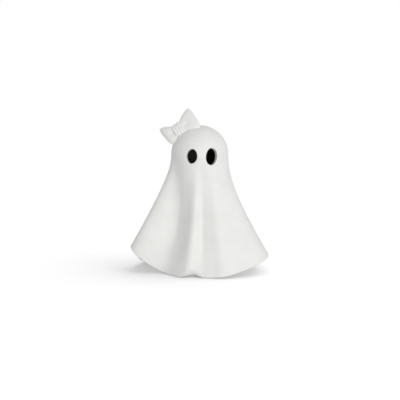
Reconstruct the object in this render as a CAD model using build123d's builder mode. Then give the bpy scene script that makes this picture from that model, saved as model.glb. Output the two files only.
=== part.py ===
from build123d import *
from math import cos, exp, hypot, radians, sin, sqrt, tanh
import os

# Ceramic ghost figure: a draped sheet cast as a hollow shell with two eye holes, closed from
# below by a dished base slab, with a bow of two loops and a knot luted on to the head.
# Millimetres. The face looks towards -Y, +Z is up, and the origin lies on the floor under
# the middle of the hem.

# Head
head_radius = 22.0
head_height = 88.7  # centre of the round head above the floor

# Shell
wall = 5.0  # measured level
lip_radius = 2.2  # rounding of the hem's outer edge
lip_lean = 24.0  # slope of the skirt where the rounding starts, in degrees from upright

# Hem, seen from above: a round skirt drawn out into a corner on each side, both a little forward
hem_reach = 44.9
left_corner_angle = -156.0
left_corner_reach = 12.85
right_corner_angle = -24.0
right_corner_reach = 11.3
corner_width = 25.0  # degrees

# Hem, seen from the front: it stands on the floor before and behind, and lifts at the sides
left_lift_angle = -165.4
left_lift = 17.8
left_lift_width = 17.1  # degrees
right_lift_angle = -15.0
right_lift = 12.0
right_lift_width = 35.5  # degrees
arch_angle = -103.0
arch_lift = 2.5  # small lift under the front ridge
arch_width = 9.0  # degrees
grind_depth = 0.4  # ground off the hem and the foot, so that they stand flat

# Curve of the skirt below the head: a small bend flares at once, a large one hangs first
bend_left = 0.20
bend_right = 0.46

# Steps in the front, where the sheet falls back on its left: angle below the head, swing near the
# hem, width in degrees, and height
right_step_angle = -74.5
right_step_swing = 0.0
right_step_width = 8.5
right_step_height = 7.0
left_step_angle = -107.0
left_step_swing = -10.0
left_step_width = 4.5
left_step_height = 3.2
left_slope_angle = -129.0
left_slope_swing = -3.0
left_slope_width = 13.0
left_slope_height = 8.0
side_rise_angle = -151.0  # where it comes forward again by as much as the steps fell back
side_rise_swing = 0.0
side_rise_width = 10.0

# Hollows in the back: angle, width in degrees, and depth
back_angle = 92.0
back_width = 50.0
back_depth = 4.0
back_left_angle = 120.0
back_left_width = 12.0
back_left_depth = 2.5
back_right_angle = 64.0
back_right_width = 12.0
back_right_depth = 2.5
fold_full = 0.70  # share of the skirt below which steps and hollows have their full height
swing_power = 4  # how late on the way down the steps swing

# Base slab
base_thickness = 5.0
base_recess = 3.0  # how far its ends lie above the lifted corners of the hem
flat_half_width = 13.0  # flat band under the middle, from the front of the hem to the back
foot_radius = 28.0  # where the underside of the rim is aimed at

# Eyes: angle round the head, width, height and lean of the top towards +X
eye_rise = 1.5  # middle of the eyes above the middle of the head
left_eye_angle = -105.0
left_eye_width = 8.0
left_eye_tall = 11.0
left_eye_lean = 4.0
right_eye_angle = -66.0
right_eye_width = 8.8
right_eye_tall = 12.6
right_eye_lean = 8.0
eye_rim_radius = 0.8

# Bow: where the knot sits, seen from the middle of the head, and the tilt of the bow's length
bow_turn = 162.5  # degrees round from +X
bow_rise = 48.0  # degrees above level
bow_stand = 2.9  # middle of the knot above the surface of the head
bow_tilt = 35.0
knot_width = 7.2
knot_tall = 10.2
knot_thickness = 7.0
knot_rounding = 1.8
knot_edge_rounding = 1.4
pleat_count = 3
pleat_radius = 0.5
pleat_spacing = 1.8
left_loop_length = 12.9
left_loop_tall = 16.6
right_loop_length = 16.2
right_loop_tall = 19.0
loop_root_tall = 9.0
loop_root_thickness = 4.4
loop_middle_thickness = 5.6
loop_end_thickness = 4.2
loop_end_rounding = 1.4

# Rings that the forms are lofted through, closer together towards the hem's rounded edge
ring_points = 72
dome_tilts = (22.5, 45.0, 67.5)  # degrees from the crown
skirt_steps = 13
step_ratio = 0.85
skirt_drops = [(1 - step_ratio**step) / (1 - step_ratio**skirt_steps) for step in range(skirt_steps + 1)]
core_steps = 10
core_drops = [step / core_steps for step in range(core_steps + 1)]
lip_turns = (-1.5, -27.0, -52.5, -78.0)  # degrees from level
overrun = 4.0  # how far the foot and the core pass below the floor before they are cut there


def bell(angle, centre, width):
    """Smooth bump of height 1 round an angle, in degrees."""
    turn = (angle - centre + 180) % 360 - 180
    return exp(-((turn / width) ** 2))


def fallen(angle, centre, width):
    """Smooth step from 0 to 1 on the way to smaller angles, in degrees."""
    turn = (angle + 180) % 360 - 180
    return (1 - tanh((turn - centre) / width)) / 2


def fold(angle, drop):
    """How far the folds push the skirt out at an angle, a share of the way down."""
    rise = right_step_height + left_step_height + left_slope_height
    steps = (
        (right_step_angle, right_step_swing, right_step_width, right_step_height),
        (left_step_angle, left_step_swing, left_step_width, left_step_height),
        (left_slope_angle, left_slope_swing, left_slope_width, left_slope_height),
        (side_rise_angle, side_rise_swing, side_rise_width, -rise),
    )
    hollows = (
        (back_angle, back_width, back_depth),
        (back_left_angle, back_left_width, back_left_depth),
        (back_right_angle, back_right_width, back_right_depth),
    )
    depth = sum(deep * bell(angle, at, width) for at, width, deep in hollows)
    late = drop**swing_power
    depth += sum(tall * fallen(angle, at + swing * late, width) for at, swing, width, tall in steps)
    share = min(drop / fold_full, 1)
    growth = share * share * (3 - 2 * share)
    return -growth * depth


def hem_lift(angle):
    """Height of the hem's lowest edge above the floor."""
    left = left_lift * bell(angle, left_lift_angle, left_lift_width)
    right = right_lift * bell(angle, right_lift_angle, right_lift_width)
    return left + right + arch_lift * bell(angle, arch_angle, arch_width)


def lip_start():
    """Height of the rounding's start above the hem's lowest edge."""
    return lip_radius * (1 + sin(radians(lip_lean)))


def dome(angle, tilt, inset=0.0):
    """Head above its middle: radius and height at a tilt from the crown."""
    radius = head_radius - inset
    return radius * sin(radians(tilt)), head_height + radius * cos(radians(tilt))


def skirt(angle, drop, inset=0.0):
    """Skirt below the head's middle: radius and height a share of the way to the hem."""
    rightness = (1 + cos(radians(angle))) / 2
    bend = bend_left + (bend_right - bend_left) * rightness
    flare = (sqrt(drop**2 + bend**2) - bend) / (sqrt(1 + bend**2) - bend)
    left_corner = left_corner_reach * bell(angle, left_corner_angle, corner_width)
    right_corner = right_corner_reach * bell(angle, right_corner_angle, corner_width)
    spread = hem_reach + left_corner + right_corner - head_radius
    end_height = hem_lift(angle) + lip_start() - grind_depth
    radius = head_radius + spread * flare + fold(angle, drop) - inset
    return radius, head_height - drop * (head_height - end_height)


def lip(angle, turn):
    """Rounded outer edge of the hem, from level round to straight down."""
    radius, height = skirt(angle, 1)
    radius += lip_radius * (cos(radians(turn)) - cos(radians(lip_lean)))
    height += lip_radius * (sin(radians(turn)) - sin(radians(lip_lean)))
    return radius, height


def ring(section, step, *inset):
    """Closed curve round the axis through a section at one step."""
    points = []
    for index in range(ring_points):
        angle = 360 * index / ring_points
        radius, height = section(angle, step, *inset)
        points.append((radius * cos(radians(angle)), radius * sin(radians(angle)), height))
    with BuildLine() as line:
        Spline(*points, periodic=True)
    return line.wire()


def foot(angle, height):
    """Rim of the flat foot."""
    return foot_radius, height


def core_foot(angle, height):
    """Foot of the core: straight down from the inner edge of the hem."""
    return skirt(angle, 1, wall)[0], height


# Outer form, solid: the draped skin down to the hem's lip, a straight-sided underside from the
# lip to the foot, and the whole ground flat on the floor
with BuildPart() as form:
    skin_rings = [Vertex(0, 0, head_height + head_radius)]
    skin_rings += [ring(dome, tilt) for tilt in dome_tilts]
    skin_rings += [ring(skirt, drop) for drop in skirt_drops]
    skin_rings += [ring(lip, turn) for turn in lip_turns]
    foot_ring = ring(foot, -overrun)
    skin = Shell.make_loft(skin_rings)
    underside = Shell.make_loft([skin_rings[-1], foot_ring], ruled=True)
    add(Solid(Shell(skin.faces() + underside.faces() + [Face(foot_ring)])))
    split(bisect_by=Plane.XY, keep=Keep.TOP)

# Core that leaves the wall around it and runs out through the bottom
with BuildPart() as core:
    core_rings = [Vertex(0, 0, head_height + head_radius - wall)]
    core_rings += [ring(dome, tilt, wall) for tilt in dome_tilts]
    core_rings += [ring(skirt, drop, wall) for drop in core_drops]
    core_rings.append(ring(core_foot, -overrun))
    add(Solid.make_loft(core_rings))

eyes = (
    (left_eye_angle, left_eye_width, left_eye_tall, left_eye_lean),
    (right_eye_angle, right_eye_width, right_eye_tall, right_eye_lean),
)

# Shell with its eye holes
with BuildPart() as ghost_body:
    add(form.part)
    add(core.part, mode=Mode.SUBTRACT)
    for angle, width, tall, lean in eyes:
        out = Vector(cos(radians(angle)), sin(radians(angle)), 0)
        across = Vector(-out.Y, out.X, 0)
        with BuildSketch(Plane(origin=(0, 0, head_height + eye_rise), x_dir=across, z_dir=out)):
            Ellipse(width / 2, tall / 2, rotation=-lean)
        extrude(amount=head_radius + overrun, mode=Mode.SUBTRACT)
        rims = ghost_body.edges(Select.LAST)
        rim = rims.sort_by(lambda edge: hypot(edge.center().X, edge.center().Y))[-1]
        fillet(rim, eye_rim_radius)

# Slab that closes the hollow from below, flat under the middle and dished up at the sides
with BuildPart() as base_plate:
    side_left = hem_reach + left_corner_reach - wall
    side_right = hem_reach + right_corner_reach - wall
    left_end = left_lift + base_recess
    right_end = right_lift + base_recess
    with BuildSketch(Plane.XZ):
        with BuildLine():
            left_rise = Spline(
                (-side_left, left_end),
                (-flat_half_width, 0),
                tangents=((side_left - flat_half_width, -left_end), (1, 0)),
            )
            right_rise = Spline(
                (flat_half_width, 0),
                (side_right, right_end),
                tangents=((1, 0), (side_right - flat_half_width, right_end)),
            )
            middle = Line(left_rise @ 1, right_rise @ 0)
            for curve in (left_rise, middle, right_rise):
                add(curve.moved(Pos(0, base_thickness)))
            Line(left_rise @ 0, left_rise @ 0 + Vector(0, base_thickness))
            Line(right_rise @ 1, right_rise @ 1 + Vector(0, base_thickness))
        make_face()
    extrude(amount=side_left + side_right, both=True)
    add(core.part, mode=Mode.INTERSECT)

bow_out = Vector(cos(radians(bow_turn)), sin(radians(bow_turn)), 0) * cos(radians(bow_rise))
bow_out += Vector(0, 0, sin(radians(bow_rise)))
bow_frame = Plane(
    origin=Vector(0, 0, head_height) + bow_out * (head_radius + bow_stand),
    x_dir=(cos(radians(bow_tilt)), 0, sin(radians(bow_tilt))),
    z_dir=(0, -1, 0),
)

# Slice of the head that the bow is seated on
with BuildPart() as bow_seat:
    seat_room = 2 * (left_loop_length + right_loop_length)
    with Locations(bow_frame.origin):
        Box(seat_room, 2 * knot_thickness, seat_room)
    add(form.part, mode=Mode.INTERSECT)

# Knot: a short pleated band round the middle of the bow, seated on the head
with BuildPart() as bow_knot:
    with BuildSketch(bow_frame):
        RectangleRounded(knot_width, knot_tall, knot_rounding)
    extrude(amount=knot_thickness / 2, both=True)
    fillet(bow_knot.faces().filter_by(bow_frame).edges(), knot_edge_rounding)
    for pleat in range(pleat_count):
        along = (pleat - (pleat_count - 1) / 2) * pleat_spacing
        groove = bow_frame.from_local_coords((along, 0, knot_thickness / 2))
        with BuildSketch(Plane(origin=groove, x_dir=bow_frame.x_dir, z_dir=bow_frame.y_dir)):
            Circle(pleat_radius)
        extrude(amount=knot_tall, both=True, mode=Mode.SUBTRACT)
    add(bow_seat.part, mode=Mode.SUBTRACT)


def loop_section(along, tall, thickness):
    """One cross section of a loop, at a distance along the bow."""
    place = bow_frame.from_local_coords((along, 0, 0))
    with BuildSketch(Plane(origin=place, x_dir=bow_frame.y_dir, z_dir=bow_frame.x_dir)) as section:
        SlotOverall(tall, thickness)
    return section.sketch


def make_loop(side, length, tall):
    """Puffed loop that widens from the knot to its rounded outer edge, seated on the head."""
    middle_tall = (loop_root_tall + tall) / 2
    soft_tall = tall - 2 * loop_end_rounding
    soft_thickness = loop_end_thickness - loop_end_rounding
    with BuildPart() as loop:
        loft(
            sections=[
                loop_section(0, loop_root_tall, loop_root_thickness),
                loop_section(side * length / 2, middle_tall, loop_middle_thickness),
                loop_section(side * (length - loop_end_rounding), tall, loop_end_thickness),
                loop_section(side * length, soft_tall, soft_thickness),
            ]
        )
        add(bow_knot.part, mode=Mode.SUBTRACT)
        add(bow_seat.part, mode=Mode.SUBTRACT)
    return loop.part


pieces = {
    "ghost_body": ghost_body.part,
    "base_plate": base_plate.part,
    "bow_knot": bow_knot.part,
    "bow_left_loop": make_loop(-1, left_loop_length, left_loop_tall),
    "bow_right_loop": make_loop(1, right_loop_length, right_loop_tall),
}
os.makedirs("parts", exist_ok=True)
for name, piece in pieces.items():
    piece.label = name
    export_step(piece, f"parts/{name}.step")
    print(name, [round(side, 2) for side in piece.bounding_box().size], round(piece.volume))
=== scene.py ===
# %% [markdown]
# # Ceramic ghost figure
# A white ceramic ghost stands on a pale floor: a hollow shell cast in the shape of a draped
# sheet, two eye holes cut through its wall, a slab that closes it from below, and a bow stuck
# on the head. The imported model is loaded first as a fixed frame, in which every piece made
# below is placed.

from math import acos, asin, atan2, cos, degrees, exp, pi, radians, sin, sqrt, tan

import bmesh
import bpy
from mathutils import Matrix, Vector


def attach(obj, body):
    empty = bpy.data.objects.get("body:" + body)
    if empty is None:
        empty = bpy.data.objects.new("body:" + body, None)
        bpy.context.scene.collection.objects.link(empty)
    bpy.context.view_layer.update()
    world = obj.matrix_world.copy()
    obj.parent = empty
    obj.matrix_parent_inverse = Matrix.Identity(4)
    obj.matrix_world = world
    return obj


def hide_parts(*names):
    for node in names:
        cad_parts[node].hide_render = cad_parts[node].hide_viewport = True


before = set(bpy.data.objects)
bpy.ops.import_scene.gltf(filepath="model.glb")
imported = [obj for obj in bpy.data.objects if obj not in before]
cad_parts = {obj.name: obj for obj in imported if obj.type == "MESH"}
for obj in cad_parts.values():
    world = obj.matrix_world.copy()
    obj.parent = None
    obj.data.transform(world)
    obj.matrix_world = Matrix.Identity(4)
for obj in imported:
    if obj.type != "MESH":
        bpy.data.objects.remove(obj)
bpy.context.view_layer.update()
mm = 0.001

# %% [markdown]
# ## Camera
# The picture looks straight at the face from a little above. A long lens from a metre away
# keeps the sides of the skirt as upright as they look there. The camera could be aimed with a
# constraint, but a turn about one axis is all that a straight look needs.

# %% Camera
image_width = 400
focal_pixels = 1287
sensor_width = 36.0
look_down = radians(12)
look_distance = 1.0
look_at = Vector((0.2, 0.0, 52.3)) * mm

camera_data = bpy.data.cameras.new("camera")
camera_data.sensor_width = sensor_width
camera_data.lens = sensor_width * focal_pixels / image_width
camera = bpy.data.objects.new("camera", camera_data)
camera.location = look_at + look_distance * Vector((0, -cos(look_down), sin(look_down)))
camera.rotation_euler = (pi / 2 - look_down, 0, 0)
bpy.context.collection.objects.link(camera)
bpy.context.scene.camera = camera
bpy.context.scene.view_settings.view_transform = "Standard"
print("lens", round(camera_data.lens, 1), "mm")

# %% [markdown]
# ## Floor and light
# The figure stands on white paper. A large softbox right of the camera lights the figure. The
# shadow in the picture falls to the left and a little to the front, which that softbox can't
# give, so two lamps light the floor alone, one from the right and one from behind, and the
# softbox lights all but the floor. What the camera sees of the floor is lifted to white by a
# little emission that only camera and mirror rays meet, so that it doesn't light the figure.


# %% Node helpers
def add_node(tree, kind, **settings):
    """New node in a tree, with its settings."""
    node = tree.nodes.new(kind)
    for name, value in settings.items():
        setattr(node, name, value)
    return node


def seen_directly(tree):
    """1 for camera, mirror and glass rays, 0 for the light that surfaces gather."""
    path = add_node(tree, "ShaderNodeLightPath")
    either = add_node(tree, "ShaderNodeMath", operation="MAXIMUM")
    tree.links.new(path.outputs["Is Camera Ray"], either.inputs[0])
    tree.links.new(path.outputs["Is Glossy Ray"], either.inputs[1])
    any_of = add_node(tree, "ShaderNodeMath", operation="MAXIMUM")
    tree.links.new(either.outputs[0], any_of.inputs[0])
    tree.links.new(path.outputs["Is Transmission Ray"], any_of.inputs[1])
    return any_of.outputs[0]


# %% World
sky_light = 0.56

world = bpy.data.worlds.new("white room")
world.use_nodes = True
bpy.context.scene.world = world
sky = world.node_tree
background = sky.nodes["Background"]
background.inputs["Color"].default_value = (1, 1, 1, 1)
strength = add_node(sky, "ShaderNodeMapRange")
strength.inputs["To Min"].default_value = sky_light
strength.inputs["To Max"].default_value = 1.0
sky.links.new(seen_directly(sky), strength.inputs["Value"])
sky.links.new(strength.outputs["Result"], background.inputs["Strength"])
print("sky light", sky_light)

# %% Floor paper
floor_white = 0.43
floor_mottle = 0.005  # how far the paper's grain strays from that white
floor_grain = 900
floor_bounce = 0.42  # how much of its light the floor gives back to the figure
floor_lift = 0.435  # emission that only a direct look meets

paper = bpy.data.materials.new("white paper")
paper.use_nodes = True
paper_tree = paper.node_tree
paper_tree.nodes.clear()
paper_out = add_node(paper_tree, "ShaderNodeOutputMaterial")
diffuse = add_node(paper_tree, "ShaderNodeBsdfDiffuse")
grain = add_node(paper_tree, "ShaderNodeTexNoise")
grain.inputs["Scale"].default_value = floor_grain
white = add_node(paper_tree, "ShaderNodeMapRange")
white.inputs["To Min"].default_value = floor_white - floor_mottle
white.inputs["To Max"].default_value = floor_white + floor_mottle
paper_tree.links.new(grain.outputs["Fac"], white.inputs["Value"])
tint = add_node(paper_tree, "ShaderNodeMix", data_type="FLOAT")
tint.inputs["A"].default_value = floor_bounce
paper_tree.links.new(seen_directly(paper_tree), tint.inputs["Factor"])
paper_tree.links.new(white.outputs["Result"], tint.inputs["B"])
paper_tree.links.new(tint.outputs["Result"], diffuse.inputs["Color"])
glow = add_node(paper_tree, "ShaderNodeEmission")
lift = add_node(paper_tree, "ShaderNodeMath", operation="MULTIPLY")
lift.inputs[1].default_value = floor_lift
paper_tree.links.new(seen_directly(paper_tree), lift.inputs[0])
paper_tree.links.new(lift.outputs[0], glow.inputs["Strength"])
both = add_node(paper_tree, "ShaderNodeAddShader")
paper_tree.links.new(diffuse.outputs[0], both.inputs[0])
paper_tree.links.new(glow.outputs[0], both.inputs[1])
paper_tree.links.new(both.outputs[0], paper_out.inputs["Surface"])
print("paper", floor_white, "white, lifted by", floor_lift)

# %% Floor
floor_size = 6.0
half = floor_size / 2
corners = [(-half, -half, 0), (half, -half, 0), (half, half, 0), (-half, half, 0)]
floor_mesh = bpy.data.meshes.new("floor")
floor_mesh.from_pydata(corners, [], [(0, 1, 2, 3)])
floor_mesh.materials.append(paper)
floor = bpy.data.objects.new("floor", floor_mesh)
bpy.context.collection.objects.link(floor)
print("floor", floor_size, "m wide")

# %% Lamps
lamp_distance = 2.0
softbox_width = 1.2
floor_lamp_width = 50  # how wide a floor lamp looks, in degrees, which softens the shadow
# Azimuth, elevation and power
softbox_values = (25, 12, 20)
floor_lamps = {
    "right_floor_lamp": (96, 43, 2.1),
    "back_floor_lamp": (160, 62, 1.3),
}


def towards(azimuth, elevation):
    """Direction towards a lamp. Azimuth 0 is the camera's side, positive is to the right."""
    turn = radians(azimuth)
    rise = radians(elevation)
    return Vector((sin(turn) * cos(rise), -cos(turn) * cos(rise), sin(rise)))


def add_lamp(name, kind, azimuth, elevation, power):
    """Lamp that faces the figure."""
    data = bpy.data.lights.new(name, kind)
    data.energy = power
    lamp = bpy.data.objects.new(name, data)
    direction = towards(azimuth, elevation)
    lamp.location = look_at + lamp_distance * direction
    lamp.rotation_euler = direction.to_track_quat("Z", "Y").to_euler()
    bpy.context.collection.objects.link(lamp)
    return lamp


softbox = add_lamp("right_softbox", "AREA", *softbox_values)
softbox.data.size = softbox_width
floor_only = bpy.data.collections.new("floor_only")
floor_only.objects.link(floor)
for lamp_name, lamp_values in floor_lamps.items():
    floor_lamp = add_lamp(lamp_name, "SUN", *lamp_values)
    floor_lamp.data.angle = radians(floor_lamp_width)
    floor_lamp.light_linking.receiver_collection = floor_only
all_but_floor = bpy.data.collections.new("all_but_floor")
all_but_floor.objects.link(floor)
all_but_floor.collection_objects[0].light_linking.link_state = "EXCLUDE"
softbox.light_linking.receiver_collection = all_but_floor
print("one softbox and", len(floor_lamps), "floor lamps")

# %% [markdown]
# ## The drape, as a rule
# On the real figure the shell is cast in a mould that was taken from a draped sheet. It could
# be sculpted or simulated as cloth, but its shape follows a plain rule: a round head, a skirt
# that flares out from it, folds that grow on the way down, side corners that lift off the
# floor, and a rounded lip. So a Geometry Nodes tree holds the rule, with the sizes as named
# inputs, and bends a flat pattern into the shell. Each point of the pattern says how far
# round it lies (angle), how far down (station: 0 to 1 dome, 1 to 2 skirt, 2 to 3 lip) and how
# deep in the wall (inset).


# %% Arithmetic on fields
class Field:
    """A value in a Geometry Nodes tree. Each operation on it adds a Math node."""

    def __init__(self, tree, socket):
        self.tree = tree
        self.socket = socket

    def math(self, operation, *others, clamp=False):
        node = add_node(self.tree, "ShaderNodeMath", operation=operation, use_clamp=clamp)
        for place, value in enumerate((self, *others)):
            if isinstance(value, Field):
                self.tree.links.new(value.socket, node.inputs[place])
            else:
                node.inputs[place].default_value = value
        return Field(self.tree, node.outputs[0])

    def __add__(self, other):
        return self.math("ADD", other)

    def __sub__(self, other):
        return self.math("SUBTRACT", other)

    def __mul__(self, other):
        return self.math("MULTIPLY", other)

    def __truediv__(self, other):
        return self.math("DIVIDE", other)

    def cos(self):
        return self.math("RADIANS").math("COSINE")

    def sin(self):
        return self.math("RADIANS").math("SINE")


def bell(angle, centre, width):
    """Smooth bump of height 1 round an angle, in degrees."""
    turn = (angle - centre).math("WRAP", 180, -180) / width
    return (turn * turn * -1).math("EXPONENT")


# %% Sizes of the drape
sizes = {
    "Head Radius": 22.0,
    "Head Height": 88.7,
    "Lip Radius": 1.0,
    "Lip Lean": 24.0,
    "Hem Reach": 44.9,
    "Left Corner Angle": -156.0,
    "Left Corner Reach": 12.5,
    "Right Corner Angle": -24.0,
    "Right Corner Reach": 11.3,
    "Corner Width": 25.0,
    "Left Lift Angle": -165.4,
    "Left Lift": 17.8,
    "Left Lift Width": 16.2,
    "Right Lift Angle": -15.0,
    "Right Lift": 12.0,
    "Right Lift Width": 35.5,
    "Arch Angle": -100.0,
    "Arch Lift": 0.4,
    "Arch Width": 8.5,
    "Arch Lip": 5.6,
    "Grind Depth": 0.4,
    "Left Bend": 0.20,
    "Right Bend": 0.46,
    "Fold Start": -0.06,
    "Fold Full": 0.73,
}
swing_power = 3  # folds swing sideways little at first and most near the hem
# Folds that push the skirt in or out: angle below the head, swing at the hem, width in degrees,
# and height in millimetres
folds = {
    "Front Ridge": (-95.5, 5.0, 5.9, 1.1),
    "Right Crease": (-86.0, -6.9, 8.4, -3.3),
    "Back Ridge": (92.0, 0.0, 50.0, -4.0),
    "Back Left Valley": (120.0, 0.0, 12.0, -2.5),
    "Back Right Valley": (64.0, 0.0, 12.0, -2.5),
}
# Steps, where the sheet falls back to a lower level on the side of smaller angles. Their heights
# add up to nothing, so that the sheet meets itself again behind the left corner
steps = {
    "Right Step": (-70.0, -1.2, 5.8, 4.7),
    "Left Step": (-110.8, -11.5, 10.6, 7.0),
    "Left Slope": (-130.0, -5.8, 9.5, 4.8),
    "Side Rise": (-155.0, 2.6, 8.0, -16.5),
}
for fold_name, fold_values in {**folds, **steps}.items():
    for part, value in zip(("Angle", "Swing", "Width", "Height"), fold_values):
        sizes[f"{fold_name} {part}"] = value
print(len(sizes), "sizes drive the drape")


# %% Flare, folds and hem
def flare(size, angle, drop):
    """How far the skirt stands out past the head. Its bend changes from left to right."""
    rightness = (angle.cos() + 1) * 0.5
    bend = size["Left Bend"] + (size["Right Bend"] - size["Left Bend"]) * rightness
    hang = (drop * drop + bend * bend).math("SQRT") - bend
    full_hang = (bend * bend + 1).math("SQRT") - bend
    spread = size["Hem Reach"] - size["Head Radius"]
    for side in ("Left", "Right"):
        corner = bell(angle, size[f"{side} Corner Angle"], size["Corner Width"])
        spread = spread + size[f"{side} Corner Reach"] * corner
    return spread * hang / full_hang


def fold_push(size, angle, station, drop):
    """How far the folds and steps push the skirt out. They grow on the way down."""
    way_down = (station - 1).math("MINIMUM", 1) - size["Fold Start"]
    share = way_down.math("DIVIDE", size["Fold Full"] - size["Fold Start"], clamp=True)
    growth = share * share * (share * -2 + 3)
    swing = drop.math("POWER", swing_power)
    push = growth * 0
    for name in folds:
        centre = size[f"{name} Angle"] + size[f"{name} Swing"] * swing
        push = push + size[f"{name} Height"] * bell(angle, centre, size[f"{name} Width"])
    for name in steps:
        centre = size[f"{name} Angle"] + size[f"{name} Swing"] * swing
        past = ((angle - centre) / size[f"{name} Width"]).math("TANH") * -0.5 + 0.5
        push = push - size[f"{name} Height"] * past
    return growth * push


def hem(size, angle):
    """Radius of the lip and height at which it begins. It lifts at the sides and under the ridge."""
    arch = bell(angle, size["Arch Angle"], size["Arch Width"])
    lift = size["Arch Lift"] * arch
    lip = size["Lip Radius"] + size["Arch Lip"] * arch
    for side in ("Left", "Right"):
        raised = bell(angle, size[f"{side} Lift Angle"], size[f"{side} Lift Width"])
        lift = lift + size[f"{side} Lift"] * raised
    return lip, lift + lip * (size["Lip Lean"].sin() + 1) - size["Grind Depth"]


# %% The tree that drapes the pattern
def build_drape(material):
    """Geometry Nodes tree that bends the flat pattern into the shell."""
    tree = bpy.data.node_groups.new("drape", "GeometryNodeTree")
    tree.interface.new_socket("Geometry", in_out="INPUT", socket_type="NodeSocketGeometry")
    for name in sizes:
        tree.interface.new_socket(name, in_out="INPUT", socket_type="NodeSocketFloat")
    tree.interface.new_socket("Geometry", in_out="OUTPUT", socket_type="NodeSocketGeometry")
    start = add_node(tree, "NodeGroupInput")
    size = {name: Field(tree, start.outputs[name]) for name in sizes}

    def attribute(name, kind="FLOAT"):
        node = add_node(tree, "GeometryNodeInputNamedAttribute", data_type=kind)
        node.inputs["Name"].default_value = name
        return Field(tree, node.outputs["Attribute"])

    angle = attribute("angle")
    station = attribute("station")
    inset = attribute("inset")
    tilt = station.math("MINIMUM", 1) * 90
    drop = (station - 1).math("ADD", 0, clamp=True)
    round_lip = (station - 2).math("ADD", 0, clamp=True)
    lip, end_height = hem(size, angle)

    # Dome, skirt and lip in one sum: each part stands still outside its own stations
    lip_turn = size["Lip Lean"] - (size["Lip Lean"] + 90) * round_lip
    radius = (size["Head Radius"] - inset) * tilt.sin()
    radius = radius + flare(size, angle, drop) + fold_push(size, angle, station, drop)
    radius = radius + lip * (lip_turn.cos() - size["Lip Lean"].cos())
    height = size["Head Height"] + (size["Head Radius"] - inset) * tilt.cos()
    height = height - drop * (size["Head Height"] - end_height)
    height = height + lip * (lip_turn.sin() - size["Lip Lean"].sin())
    height = height.math("MAXIMUM", 0)

    place = add_node(tree, "ShaderNodeCombineXYZ")
    tree.links.new((radius * angle.cos() * mm).socket, place.inputs["X"])
    tree.links.new((radius * angle.sin() * mm).socket, place.inputs["Y"])
    tree.links.new((height * mm).socket, place.inputs["Z"])
    cut = add_node(tree, "ShaderNodeVectorMath", operation="ADD")
    tree.links.new(place.outputs[0], cut.inputs[0])
    tree.links.new(attribute("cut", "FLOAT_VECTOR").socket, cut.inputs[1])
    move = add_node(tree, "GeometryNodeSetPosition")
    tree.links.new(start.outputs["Geometry"], move.inputs["Geometry"])
    tree.links.new(cut.outputs[0], move.inputs["Position"])
    realize = add_node(tree, "GeometryNodeRealizeInstances")
    tree.links.new(move.outputs[0], realize.inputs[0])
    finish = add_node(tree, "GeometryNodeSetMaterial")
    finish.inputs["Material"].default_value = material
    tree.links.new(realize.outputs[0], finish.inputs["Geometry"])
    end = add_node(tree, "NodeGroupOutput")
    tree.links.new(finish.outputs[0], end.inputs[0])
    return tree


# %% [markdown]
# ## The finish
# The figure has a matte white glaze. Seen close it isn't one flat white: it clouds a little,
# has fine pinholes where gas left the clay, and a few grey specks. Three noises do that, on
# Object coordinates, so that the pattern keeps its real size on every piece. Inside the
# hollow there is no glaze, and its colour is painted near black. That is painted shade for the
# closed, unlit cavity that the eyes look into, not the clay's own colour. The attribute "hollow"
# tells the material where.

# %% Ceramic material
roughness = 0.62
shine = 0.35
# Each noise has a scale, a detail, and the range of its values over which it sets in
cloud_noise = (90, 3)
cloud_range = (0.35, 0.65)
speck_noise = (1400, 0)
speck_range = (0.78, 0.80)
speck_strength = 0.35
speck_colour = (0.55, 0.53, 0.50)
pinhole_noise = (1900, 2)
pinhole_range = (0.25, 0.45)
pinhole_depth = 0.1  # millimetres
pinhole_strength = 0.25
# Painted shade: near black for the unlit inside of the closed hollow, not the colour of its clay
hollow_shade_colour = (0.05, 0.048, 0.045)


def build_ceramic(name, pale, cloudy):
    """Matte glaze with soft clouds, pinholes and specks."""
    material = bpy.data.materials.new(name)
    material.use_nodes = True
    tree = material.node_tree
    shader = tree.nodes["Principled BSDF"]
    shader.inputs["Roughness"].default_value = roughness
    shader.inputs["Specular IOR Level"].default_value = shine
    where = add_node(tree, "ShaderNodeTexCoord").outputs["Object"]

    def noise(scale, detail):
        node = add_node(tree, "ShaderNodeTexNoise")
        node.inputs["Scale"].default_value = scale
        node.inputs["Detail"].default_value = detail
        tree.links.new(where, node.inputs["Vector"])
        return node.outputs["Fac"]

    def blend(factor, first, second):
        node = add_node(tree, "ShaderNodeMix", data_type="RGBA")
        for value, socket in ((first, node.inputs["A"]), (second, node.inputs["B"])):
            if isinstance(value, tuple):
                socket.default_value = (*value, 1)
            else:
                tree.links.new(value, socket)
        tree.links.new(factor, node.inputs["Factor"])
        return node.outputs["Result"]

    def between(value, limits, full):
        node = add_node(tree, "ShaderNodeMapRange")
        node.inputs["From Min"].default_value = limits[0]
        node.inputs["From Max"].default_value = limits[1]
        node.inputs["To Max"].default_value = full
        tree.links.new(value, node.inputs["Value"])
        return node.outputs["Result"]

    clouds = blend(between(noise(*cloud_noise), cloud_range, 1), pale, cloudy)
    specks = between(noise(*speck_noise), speck_range, speck_strength)
    speckled = blend(specks, clouds, speck_colour)
    # Inside the hollow the painted shade colour takes the place of the glaze's colour
    hollow = add_node(tree, "ShaderNodeAttribute", attribute_name="hollow")
    colour = blend(hollow.outputs["Fac"], speckled, hollow_shade_colour)
    tree.links.new(colour, shader.inputs["Base Color"])
    pinholes = between(noise(*pinhole_noise), pinhole_range, 1)
    bump = add_node(tree, "ShaderNodeBump")
    bump.inputs["Strength"].default_value = pinhole_strength
    bump.inputs["Distance"].default_value = pinhole_depth * mm
    tree.links.new(pinholes, bump.inputs["Height"])
    tree.links.new(bump.outputs["Normal"], shader.inputs["Normal"])
    return material


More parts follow.
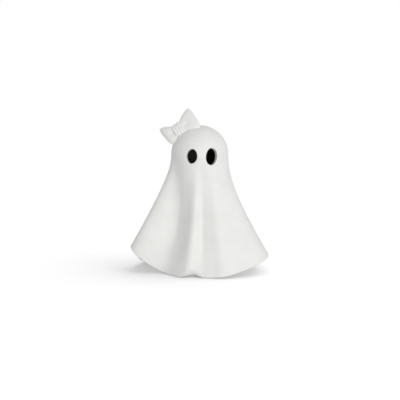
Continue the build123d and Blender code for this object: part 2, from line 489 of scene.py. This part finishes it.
white_glaze = build_ceramic("matte white ceramic", (0.86, 0.86, 0.84), (0.83, 0.83, 0.81))
bare_clay = build_ceramic("bare clay", (0.80, 0.79, 0.77), (0.74, 0.73, 0.70))
print("two finishes:", white_glaze.name, "and", bare_clay.name)

# %% [markdown]
# ## The flat pattern
# The pattern is a grid that is closed round the figure: rows run from the crown over the lip
# and back up the inner wall to the crown again, so that the shell has a true wall, as the cast
# has. A single sheet with a Solidify modifier would give a wall too, but its hem would be cut
# square, and the eyes would have to be cut afterwards.

# %% Rows and columns
columns = 320
dome_rows = 20
skirt_rows = 60
lip_rows = 8
wall = 5.0

outer_stations = [row / dome_rows for row in range(1, dome_rows + 1)]
outer_stations += [1 + row / skirt_rows for row in range(1, skirt_rows + 1)]
lip_stations = [2 + row / lip_rows for row in range(1, lip_rows + 1)]
rim_inset = wall - sizes["Lip Radius"] * cos(radians(sizes["Lip Lean"]))
rows = [(station, 0.0) for station in outer_stations + lip_stations]
rows.append((3.0, rim_inset))
rows += [(station, wall) for station in reversed(outer_stations)]
angles = [360 * column / columns - 180 for column in range(columns)]
print(len(rows), "rows of", columns)

# %% Points and faces of the pattern
pattern_points = []
pattern_faces = []


def add_point(angle, station, inset, cut=(0.0, 0.0, 0.0)):
    """New point of the pattern. Returns its number."""
    pattern_points.append((angle, station, inset, cut))
    return len(pattern_points) - 1


grid = [[add_point(angle, station, inset) for angle in angles] for station, inset in rows]
top = add_point(0, 0, 0.0)
inner_top = add_point(0, 0, wall)
print(len(pattern_points), "points in the grid")

# %% [markdown]
# ## The eyes
# The real eyes are cut through the wet wall with a knife, and their edges are wiped round with
# a sponge. A Boolean cut would leave long thin faces there that catch the light. So a block of
# squares is left out of the grid round each eye, and rings lead from the block's edge to the
# oval hole, over its rounded rim and through the wall to the inner block. The knife was turned
# a little towards the front and came out lower inside, which shows in the walls of the holes.

# %% Sizes of the eyes
eye_rim_radius = 0.8
eye_margin = 2.0
cut_turn = 0.3  # how much of the way towards the front the knife was turned
cut_dip = 1.0  # how far down it came out on the inner side
rim_steps = 4
ring_steps = 5
skirt_end = 3.0  # about where the skirt ends above the floor under the face


class Eye:
    """Oval hole in the head. Its lean takes the top towards +X."""

    def __init__(self, angle, height, width, tall, lean):
        self.angle = angle
        self.height = height
        self.width = width
        self.tall = tall
        self.lean = radians(lean)

    def place(self, across, up, inset):
        """Angle and station of the point on the head that lies across and up from the eye's middle."""
        radius = sizes["Head Radius"] - inset
        height = self.height + up - sizes["Head Height"]
        if height >= 0:
            tilt = acos(min(height / radius, 1))
            return self.angle + degrees(asin(across / (radius * sin(tilt)))), tilt / (pi / 2)
        drop = -height / (sizes["Head Height"] - skirt_end)
        return self.angle + degrees(asin(across / radius)), 1 + drop

    def spot(self, point):
        """Where a point of the pattern lies across and up from the eye's middle."""
        angle, station, inset, _ = pattern_points[point]
        radius = sizes["Head Radius"] - inset
        tilt = min(station, 1) * pi / 2
        across = sin(radians(angle - self.angle)) * radius * sin(tilt)
        height = sizes["Head Height"] + radius * cos(tilt)
        height -= max(station - 1, 0) * (sizes["Head Height"] - skirt_end)
        return across, height - self.height

    def oval(self, spot, grow):
        """Point of the eye's oval, grown by a distance, in the direction of a spot."""
        across, up = spot
        leaned_across = across * cos(self.lean) - up * sin(self.lean)
        leaned_up = across * sin(self.lean) + up * cos(self.lean)
        turn = atan2(leaned_up / self.tall, leaned_across / self.width)
        side = (self.width / 2 + grow) * cos(turn)
        rise = (self.tall / 2 + grow) * sin(turn)
        return side * cos(self.lean) + rise * sin(self.lean), rise * cos(self.lean) - side * sin(self.lean)


# Angle round the head, height above the floor, width, tallness and lean
eyes = {
    "left": Eye(-107.0, 90.2, 8.7, 11.2, 4.0),
    "right": Eye(-64.7, 89.9, 9.3, 12.8, 6.0),
}
for eye_name, eye in eyes.items():
    print(eye_name, "eye", eye.width, "by", eye.tall, "mm")


# %% Blocks and bands
def eye_block(eye):
    """First and last row and column of the block that is left out round an eye."""
    ends = []
    for side in (1, -1):
        station = eye.place(0, side * (eye.tall / 2 + eye_margin), 0)[1]
        gaps = [abs(other - station) for other in outer_stations]
        ends.append(gaps.index(min(gaps)))
    reach = degrees((eye.width / 2 + eye_margin) / sizes["Head Radius"])
    for side in (-1, 1):
        ends.append(round((eye.angle + side * reach + 180) * columns / 360))
    return ends


def block_loop(first_row, last_row, first_column, last_column):
    """Grid points round a block, anticlockwise seen from outside, from its upper left corner down."""
    down = [grid[row][first_column] for row in range(first_row, last_row)]
    along = [grid[last_row][column] for column in range(first_column, last_column)]
    up = [grid[row][last_column] for row in range(last_row, first_row, -1)]
    back = [grid[first_row][column] for column in range(last_column, first_column, -1)]
    return down + along + up + back


def join_loops(first, second):
    """Band of faces between two loops of the same length."""
    for index in range(len(first)):
        following = (index + 1) % len(first)
        pattern_faces.append((first[index], first[following], second[following], second[index]))


def mix(first, second, share):
    """Spot a share of the way from one spot to another."""
    return [start * (1 - share) + end * share for start, end in zip(first, second)]


# %% Cut the eyes
left_out = set()
shade_free_edge = set()  # points of the inner wall that the painted shade of the hollow leaves out
mirror_row = len(rows) - 1


def outer_loops(eye, spots):
    """Rings from the block's edge to the oval, and over its rounded rim."""
    loops = []
    for step in range(1, ring_steps + 1):
        ring = []
        for spot in spots:
            near = eye.oval(spot, eye_rim_radius)
            ring.append(add_point(*eye.place(*mix(spot, near, step / ring_steps), 0), 0.0))
        loops.append(ring)
    out = Vector((cos(radians(eye.angle)), sin(radians(eye.angle)), 0))
    for step in range(1, rim_steps + 1):
        turn = step / rim_steps * pi / 2
        grow = eye_rim_radius * (1 - sin(turn))
        cut = tuple(out * -eye_rim_radius * (1 - cos(turn)) * mm)
        loops.append([add_point(*eye.place(*eye.oval(spot, grow), 0), 0.0, cut) for spot in spots])
    return loops


def inner_loops(eye, spots, inner_loop):
    """Rings from the hole's inner edge over the inner side to the inner block."""
    sideways = wall * tan(radians(cut_turn * (eye.angle + 90)))
    loops = []
    for step in range(ring_steps):
        ring = []
        for spot, point in zip(spots, inner_loop):
            across, up = eye.oval(spot, 0)
            edge = across + sideways, up - cut_dip
            place = eye.place(*mix(edge, eye.spot(point), step / ring_steps), wall)
            ring.append(add_point(*place, wall))
        loops.append(ring)
    # The hole's first inner ring stays out of the painted shade, so the shade fades in across the hole's
    # wall
    shade_free_edge.update(loops[0])
    return loops


for eye in eyes.values():
    first_row, last_row, first_column, last_column = eye_block(eye)
    outer_loop = block_loop(first_row, last_row, first_column, last_column)
    inner_loop = []
    for point in outer_loop:
        row, column = divmod(point, columns)
        inner_loop.append(grid[mirror_row - row][column])
    spots = [eye.spot(point) for point in outer_loop]
    loops = [outer_loop, *outer_loops(eye, spots), *inner_loops(eye, spots, inner_loop), inner_loop]
    for first, second in zip(loops, loops[1:]):
        join_loops(first, second)
    for row in range(first_row, last_row):
        for column in range(first_column, last_column):
            left_out.add((row, column))
            left_out.add((mirror_row - row - 1, column))
print(len(left_out), "squares left out for the eyes")

# %% Squares of the grid and the two crowns
for row in range(len(rows) - 1):
    for column in range(columns):
        if (row, column) in left_out:
            continue
        following = (column + 1) % columns
        pattern_faces.append(
            (grid[row][column], grid[row + 1][column], grid[row + 1][following], grid[row][following])
        )
for column in range(columns):
    following = (column + 1) % columns
    pattern_faces.append((top, grid[0][column], grid[0][following]))
    pattern_faces.append((inner_top, grid[-1][following], grid[-1][column]))
print(len(pattern_faces), "faces in the pattern")

# %% The pattern as a mesh
used = sorted({point for face in pattern_faces for point in face})
renumber = {point: index for index, point in enumerate(used)}
pattern = bpy.data.meshes.new("flat pattern")
pattern.from_pydata(
    [(pattern_points[point][0] / 360, pattern_points[point][1], 0) for point in used],
    [],
    [[renumber[point] for point in face] for face in pattern_faces],
)
for name, place in (("angle", 0), ("station", 1), ("inset", 2)):
    values = pattern.attributes.new(name, "FLOAT", "POINT")
    values.data.foreach_set("value", [pattern_points[point][place] for point in used])
cuts = pattern.attributes.new("cut", "FLOAT_VECTOR", "POINT")
cuts.data.foreach_set("vector", [value for point in used for value in pattern_points[point][3]])
# Points inside the hollow get the painted shade, except those at the inner edge of the eye holes
hollow_values = pattern.attributes.new("hollow", "FLOAT", "POINT")
is_hollow = [pattern_points[point][2] > rim_inset and point not in shade_free_edge for point in used]
hollow_values.data.foreach_set("value", [float(value) for value in is_hollow])
print(len(used), "points in the pattern,", sum(is_hollow), "of them inside the hollow")


# %% Drape the pattern
def smooth_piece(name, mesh, sharp_above=50):
    """New object with a smooth mesh that keeps its sharp edges."""
    mesh.name = name
    mesh.polygons.foreach_set("use_smooth", [True] * len(mesh.polygons))
    mesh.set_sharp_from_angle(angle=radians(sharp_above))
    piece = bpy.data.objects.new(name, mesh)
    bpy.context.collection.objects.link(piece)
    return piece


pattern_object = bpy.data.objects.new("flat pattern", pattern)
bpy.context.collection.objects.link(pattern_object)
drape = build_drape(white_glaze)
modifier = pattern_object.modifiers.new("drape", "NODES")
modifier.node_group = drape
for socket in drape.interface.items_tree:
    if socket.in_out == "INPUT" and socket.name in sizes:
        modifier[socket.identifier] = sizes[socket.name]
evaluated = pattern_object.evaluated_get(bpy.context.evaluated_depsgraph_get())
shell_mesh = bpy.data.meshes.new_from_object(evaluated)
pattern_object.modifiers.remove(modifier)
bpy.data.objects.remove(pattern_object)
shell = smooth_piece("draped_shell", shell_mesh)
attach(shell, "root")
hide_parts("ghost_body")
print("shell in mm", [round(side / mm, 1) for side in shell.dimensions])

# %% [markdown]
# ## The base slab
# The slab that closes the hollow is a plain dished plate, and its solid is already right, so
# it stays and only gets its bare clay finish.

# %% Base slab
slab = bpy.data.objects["base_plate"]
slab.data.materials.clear()
slab.data.materials.append(bare_clay)
print("slab finished in", bare_clay.name)

# %% [markdown]
# ## The bow
# The real bow is rolled out of clay, folded by hand and stuck on the head with slip: two soft
# loops and a band over the pinch between them. It could be sculpted, but each loop is a flat
# cushion that widens from the knot, with a few creases that run out from the pinch, so every
# cross section is a flattened ring whose width and thickness follow from how far out it lies.
# The rings are joined to a closed skin. What would sink into the head is laid against a
# sphere just under the glaze, which is how the soft clay seats itself. The bow leans back, so
# that its lower edge lies on the front of the head, as the picture shows. Its solids stand
# upright and further back, so the place is worked out from theirs and then moved forward.

# %% Where the bow sits
bow_turn = 162.5  # where the knot's solid sits, in degrees round the head
bow_rise = 48.0  # and in degrees up from the head's middle
bow_stand = 2.9  # how far the middle of that solid stands off the head
bow_forward = 6.0  # how much further forward the bow sits here
bow_lift = 0.4  # and how much higher
bow_tilt = 35.0  # how far its right end is turned up
bow_lean = 30.0  # how far it leans back
seat_depth = 0.6  # how far it sinks into the head
head_centre = Vector((0, 0, sizes["Head Height"]))
bow_out = Vector((cos(radians(bow_turn)), sin(radians(bow_turn)), 0)) * cos(radians(bow_rise))
bow_out.z = sin(radians(bow_rise))
knot_centre = head_centre + bow_out * (sizes["Head Radius"] + bow_stand)
knot_centre += Vector((0, -bow_forward, bow_lift))
bow_along = Vector((cos(radians(bow_tilt)), 0, sin(radians(bow_tilt))))
upright = Vector((-sin(radians(bow_tilt)), 0, cos(radians(bow_tilt))))
back = Vector((0, 1, 0))
bow_up = upright * cos(radians(bow_lean)) + back * sin(radians(bow_lean))
bow_front = upright * sin(radians(bow_lean)) - back * cos(radians(bow_lean))


def bow_place(along, up, front):
    """Point of the bow in the frame, kept out of the head."""
    point = knot_centre + bow_along * along + bow_up * up + bow_front * front
    away = point - head_centre
    nearest = sizes["Head Radius"] - seat_depth
    if away.length < nearest:
        point = head_centre + away.normalized() * nearest
    return point * mm


print("middle of the knot in mm", [round(value, 1) for value in knot_centre])

# %% Skins over rings
same_place = 0.002  # points closer than this are one, in millimetres
bow_sharp_above = 70  # degrees


def power(value, exponent):
    """Power that keeps the sign."""
    return abs(value) ** exponent * (1 if value >= 0 else -1)


def bump(value, centre, width):
    """Smooth bump of height 1 round a value."""
    return exp(-(((value - centre) / width) ** 2))


def skin_rings(name, rings):
    """Closed skin over a row of rings with as many points each, with the end rings filled."""
    mesh = bpy.data.meshes.new(name)
    count = len(rings[0])
    faces = []
    for row in range(len(rings) - 1):
        low = row * count
        high = low + count
        for index in range(count):
            following = (index + 1) % count
            faces.append((low + index, low + following, high + following, high + index))
    mesh.from_pydata([point for ring in rings for point in ring], [], faces)
    skin = bmesh.new()
    skin.from_mesh(mesh)
    bmesh.ops.remove_doubles(skin, verts=skin.verts, dist=same_place * mm)
    bmesh.ops.holes_fill(skin, edges=skin.edges)
    bmesh.ops.recalc_face_normals(skin, faces=skin.faces)
    skin.to_mesh(mesh)
    skin.free()
    return mesh


def finish_bow_piece(name, node, mesh):
    """Bow piece in white glaze, in the place of its solid."""
    mesh.materials.append(white_glaze)
    piece = smooth_piece(name, mesh, bow_sharp_above)
    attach(piece, "root")
    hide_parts(node)
    print(name, "in mm", [round(side / mm, 1) for side in piece.dimensions])


# %% Loops
loop_rings = 44
ring_corners = 64
root_half_tall = 3.6
root_half_thickness = 1.8
middle_half_thickness = 2.9
widen_power = 1.3  # how late the loop widens on the way out
puff_power = 0.8  # how soon it is as thick as in the middle
edge_power = 6  # how late it thins to the outer edge
edge_tuck = 0.04  # how much shorter the edge itself is
edge_tuck_power = 12
corner_pull = 0.08  # how far the corners of the outer edge draw back
corner_pull_power = 4
section_tall_power = 0.9  # below 1, the cross section is fuller than an ellipse
section_thick_power = 0.85
# Creases: where across the loop they run, from -1 to 1, how wide, and how deep in millimetres
loop_creases = ((0.45, 0.16, 0.8), (-0.05, 0.14, 0.5), (-0.5, 0.16, 0.75))
crease_fade = 1.5  # how soon they fade on the way out
dimple_share = 0.42  # share of the way out
dimple_length = 0.25
dimple_across = -0.1
dimple_width = 0.4
dimple_depth = 1.1


def loop_hollow(share, across):
    """How deep the creases and the dimple are, in millimetres."""
    creases = sum(deep * bump(across, at, wide) for at, wide, deep in loop_creases)
    dimple = bump(share, dimple_share, dimple_length) * bump(across, dimple_across, dimple_width)
    return creases * (1 - share) ** crease_fade + dimple * dimple_depth


def loop_ring(side, length, half_tall, rise, slant, share):
    """Cross section of a loop a share of the way out."""
    tall = root_half_tall + (half_tall - root_half_tall) * sin(share * pi / 2) ** widen_power
    tall *= 1 - edge_tuck * share**edge_tuck_power
    swell = middle_half_thickness - root_half_thickness
    puff = root_half_thickness + swell * sin(share * pi) ** puff_power
    puff *= sqrt(max(1 - share**edge_power, 0))
    ring = []
    for corner in range(ring_corners):
        turn = 2 * pi * corner / ring_corners
        across = power(sin(turn), section_tall_power)
        out = power(cos(turn), section_thick_power)
        pulled = 1 - corner_pull * across**corner_pull_power + slant * across
        along = side * length * share * pulled
        front = out * max(puff - loop_hollow(share, across) * min(puff, 1), 0)
        ring.append(bow_place(along, across * tall + rise * share, front))
    return ring


def make_loop(name, side, length, half_tall, rise, slant):
    """Skin over rings from the knot's middle to the outer edge, closer together there.

    The loop rises on the way out, and slant makes its upper part longer than its lower one.
    """
    shares = [sin(ring / (loop_rings - 1) * pi / 2) for ring in range(loop_rings)]
    rings = [loop_ring(side, length, half_tall, rise, slant, share) for share in shares]
    return skin_rings(name, rings)


left_loop = make_loop("left_loop", side=-1, length=12.7, half_tall=8.5, rise=1.5, slant=0.08)
finish_bow_piece("bow_left_cushion", "bow_left_loop", left_loop)
right_loop = make_loop("right_loop", side=1, length=16.2, half_tall=9.75, rise=0.95, slant=0.0)
finish_bow_piece("bow_right_cushion", "bow_right_loop", right_loop)

# %% [markdown]
# ## The knot
# The knot is a strip of clay that was wrapped over the pinch and pressed into pleats. It could
# be a strip swept round the loops, but only its outside shows, so it is a skin over rings as
# well, with grooves that sway a little on their way round it.

# %% Knot
knot_half_width = 4.0
knot_half_tall = 5.9
knot_half_thickness = 3.5
knot_rings = 49
knot_end_share = 0.75  # how big its ends are against its middle
knot_end_power = 5
knot_section_power = 0.75
pleat_count = 3
pleat_spacing = 2.3
pleat_depth = 0.11
pleat_width = 0.6
pleat_sway = 0.35
pleat_sway_start = 0.6
pleat_sway_growth = 0.4  # how much more each further pleat sways


def knot_ring(place):
    """Cross section of the band at a place along the bow, from -1 to 1."""
    along = knot_half_width * place
    swell = knot_end_share + (1 - knot_end_share) * sqrt(1 - abs(place) ** knot_end_power)
    ring = []
    for corner in range(ring_corners):
        turn = 2 * pi * corner / ring_corners
        sway = pleat_sway * sin(turn + pleat_sway_start)
        grooves = 0
        for pleat in range(pleat_count):
            middle = (pleat - (pleat_count - 1) / 2) * pleat_spacing
            grooves += bump(along, middle + sway * (1 + pleat_sway_growth * pleat), pleat_width)
        size = swell * (1 - pleat_depth * grooves)
        up = knot_half_tall * power(sin(turn), knot_section_power) * size
        front = knot_half_thickness * power(cos(turn), knot_section_power) * size
        ring.append(bow_place(along, up, front))
    return ring


knot_places = [sin((2 * ring / (knot_rings - 1) - 1) * pi / 2) for ring in range(knot_rings)]
knot_mesh = skin_rings("knot", [knot_ring(place) for place in knot_places])
finish_bow_piece("bow_knot_band", "bow_knot", knot_mesh)
